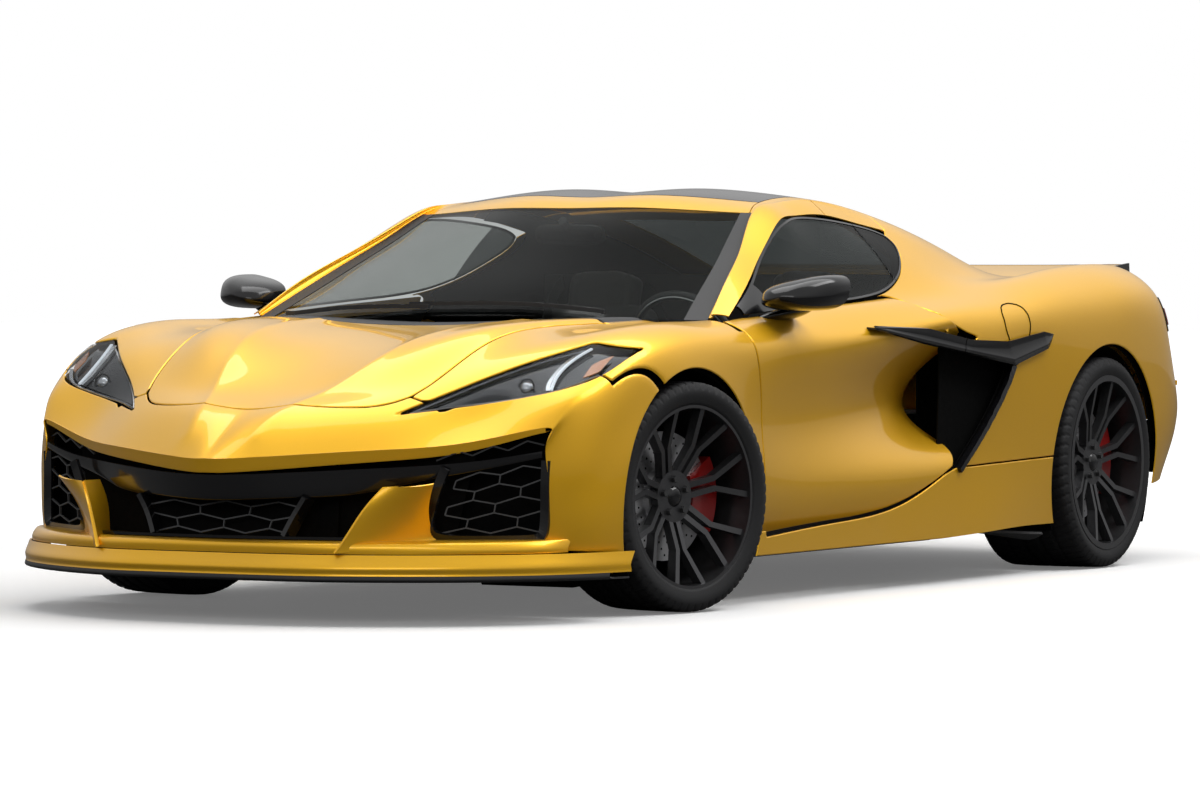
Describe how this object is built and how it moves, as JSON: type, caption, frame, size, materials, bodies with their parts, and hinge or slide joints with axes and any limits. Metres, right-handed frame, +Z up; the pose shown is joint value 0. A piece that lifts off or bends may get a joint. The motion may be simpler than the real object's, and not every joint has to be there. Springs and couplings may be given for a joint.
{
  "type": "sports coupe car",
  "caption": "Low mid-engined two-seat sports coupe with opening doors, front and rear lids, steered front wheels and spinning wheels.",
  "frame": {"origin": "on the ground below the middle of the bounding box", "axes": "+Z up, nose towards -Y, +X is the left side of the car"},
  "size_m": [2.15, 4.7228, 1.2273],
  "materials": {
    "body_paint": "gloss golden-yellow paint",
    "bright_steel": "brushed",
    "caliper_paint": "gloss red",
    "cast_metal": "as cast",
    "dark_metal": "satin black",
    "disc_iron": "ground grey",
    "glass": "clear, lightly tinted",
    "gloss_black": "gloss black",
    "interior_trim": "matt black",
    "lamp_glass": "clear over dark housing",
    "leather": "black, fine grain",
    "matt_black": "matt black",
    "red_lens": "gloss red lens",
    "tub_paint": "satin black",
    "tyre": "matt black rubber",
    "wheel_paint": "satin dark graphite paint"
  },
  "bodies": {
    "car": {"body_beams": "tub_paint", "cabin_frame": "body_paint", "centre_console": "interior_trim", "cowl": "matt_black", "dashboard": "interior_trim", "engine_block": "cast_metal", "exhaust_tips": "bright_steel", "fixed_glass": "glass", "floor_tub": "tub_paint", "front_fascia": "body_paint", "front_fenders": "body_paint", "front_lip": "body_paint", "front_shelf": "body_paint", "grille_bar": "gloss_black", "grille_meshes": "matt_black", "headlamps": "lamp_glass", "hinge_brackets": "body_paint", "rear_calipers": "caliper_paint", "rear_deck": "body_paint", "rear_diffuser": "gloss_black", "rear_fascia": "body_paint", "rear_knuckles": "cast_metal", "rear_quarters": "body_paint", "rear_spoiler": "gloss_black", "roof_panel": "gloss_black", "seats": "leather", "side_blades": "gloss_black", "side_skirts": "body_paint", "steering_column": "tub_paint", "suspension_arms": "dark_metal", "tail_lamps": "red_lens"},
    "door_left": {"door_blade_left": "gloss_black", "door_glass_left": "glass", "door_left": "body_paint", "mirror_left": "gloss_black"},
    "door_right": {"door_blade_right": "gloss_black", "door_glass_right": "glass", "door_right": "body_paint", "mirror_right": "gloss_black"},
    "hood": {"hood": "body_paint"},
    "rear_hatch": {"rear_hatch": "body_paint", "hatch_glass": "glass"},
    "knuckle_left": {"knuckle_left": "cast_metal", "caliper_front_left": "caliper_paint"},
    "knuckle_right": {"knuckle_right": "cast_metal", "caliper_front_right": "caliper_paint"},
    "steering_wheel": {"steering_wheel": "interior_trim"},
    "wheel_front_left": {"tyre_front_left": "tyre", "rim_front_left": "wheel_paint", "brake_disc_front_left": "disc_iron"},
    "wheel_front_right": {"tyre_front_right": "tyre", "rim_front_right": "wheel_paint", "brake_disc_front_right": "disc_iron"},
    "wheel_rear_left": {"tyre_rear_left": "tyre", "rim_rear_left": "wheel_paint", "brake_disc_rear_left": "disc_iron"},
    "wheel_rear_right": {"tyre_rear_right": "tyre", "rim_rear_right": "wheel_paint", "brake_disc_rear_right": "disc_iron"}
  },
  "joints": [
    {"name": "door_left_open", "type": "hinge", "parent": "car", "child": "door_left", "pos_m": [0.93, -0.845, 0.5], "axis": [0, 0, -1], "range_deg": [0, 65]},
    {"name": "door_right_open", "type": "hinge", "parent": "car", "child": "door_right", "pos_m": [-0.93, -0.845, 0.5], "axis": [0, 0, 1], "range_deg": [0, 65]},
    {"name": "hood_open", "type": "hinge", "parent": "car", "child": "hood", "pos_m": [0, -1.09, 0.8], "axis": [-1, 0, 0], "range_deg": [0, 50]},
    {"name": "rear_hatch_open", "type": "hinge", "parent": "car", "child": "rear_hatch", "pos_m": [0, 0.44, 1.138], "axis": [1, 0, 0], "range_deg": [0, 45]},
    {"name": "steer_left", "type": "hinge", "parent": "car", "child": "knuckle_left", "pos_m": [0.7945, -1.274, 0.33], "axis": [0, 0, 1], "range_deg": [-21.3, 44.7]},
    {"name": "steer_right", "type": "hinge", "parent": "car", "child": "knuckle_right", "pos_m": [-0.7945, -1.274, 0.33], "axis": [0, 0, 1], "range_deg": [-21.3, 44.7]},
    {"name": "steering_wheel_turn", "type": "hinge", "parent": "car", "child": "steering_wheel", "pos_m": [0.37, -0.27, 0.74], "axis": [0, -0.9135, -0.4067], "range_deg": [-276.9, 581.1]},
    {"name": "wheel_front_left_spin", "type": "hinge", "parent": "knuckle_left", "child": "wheel_front_left", "pos_m": [0.83857, -1.28313, 0.33], "axis": [0.9792, -0.2028, 0], "continuous": true},
    {"name": "wheel_front_right_spin", "type": "hinge", "parent": "knuckle_right", "child": "wheel_front_right", "pos_m": [-0.83857, -1.26487, 0.33], "axis": [0.9792, -0.2028, 0], "continuous": true},
    {"name": "wheel_rear_left_spin", "type": "hinge", "parent": "car", "child": "wheel_rear_left", "pos_m": [0.8315, 1.449, 0.345], "axis": [1, 0, 0], "continuous": true},
    {"name": "wheel_rear_right_spin", "type": "hinge", "parent": "car", "child": "wheel_rear_right", "pos_m": [-0.8315, 1.449, 0.345], "axis": [1, 0, 0], "continuous": true}
  ],
  "couplings": [
    {"joint": "steer_right", "follows": "steer_left", "ratio": 1},
    {"joint": "steering_wheel_turn", "follows": "steer_left", "ratio": 13}
  ]
}
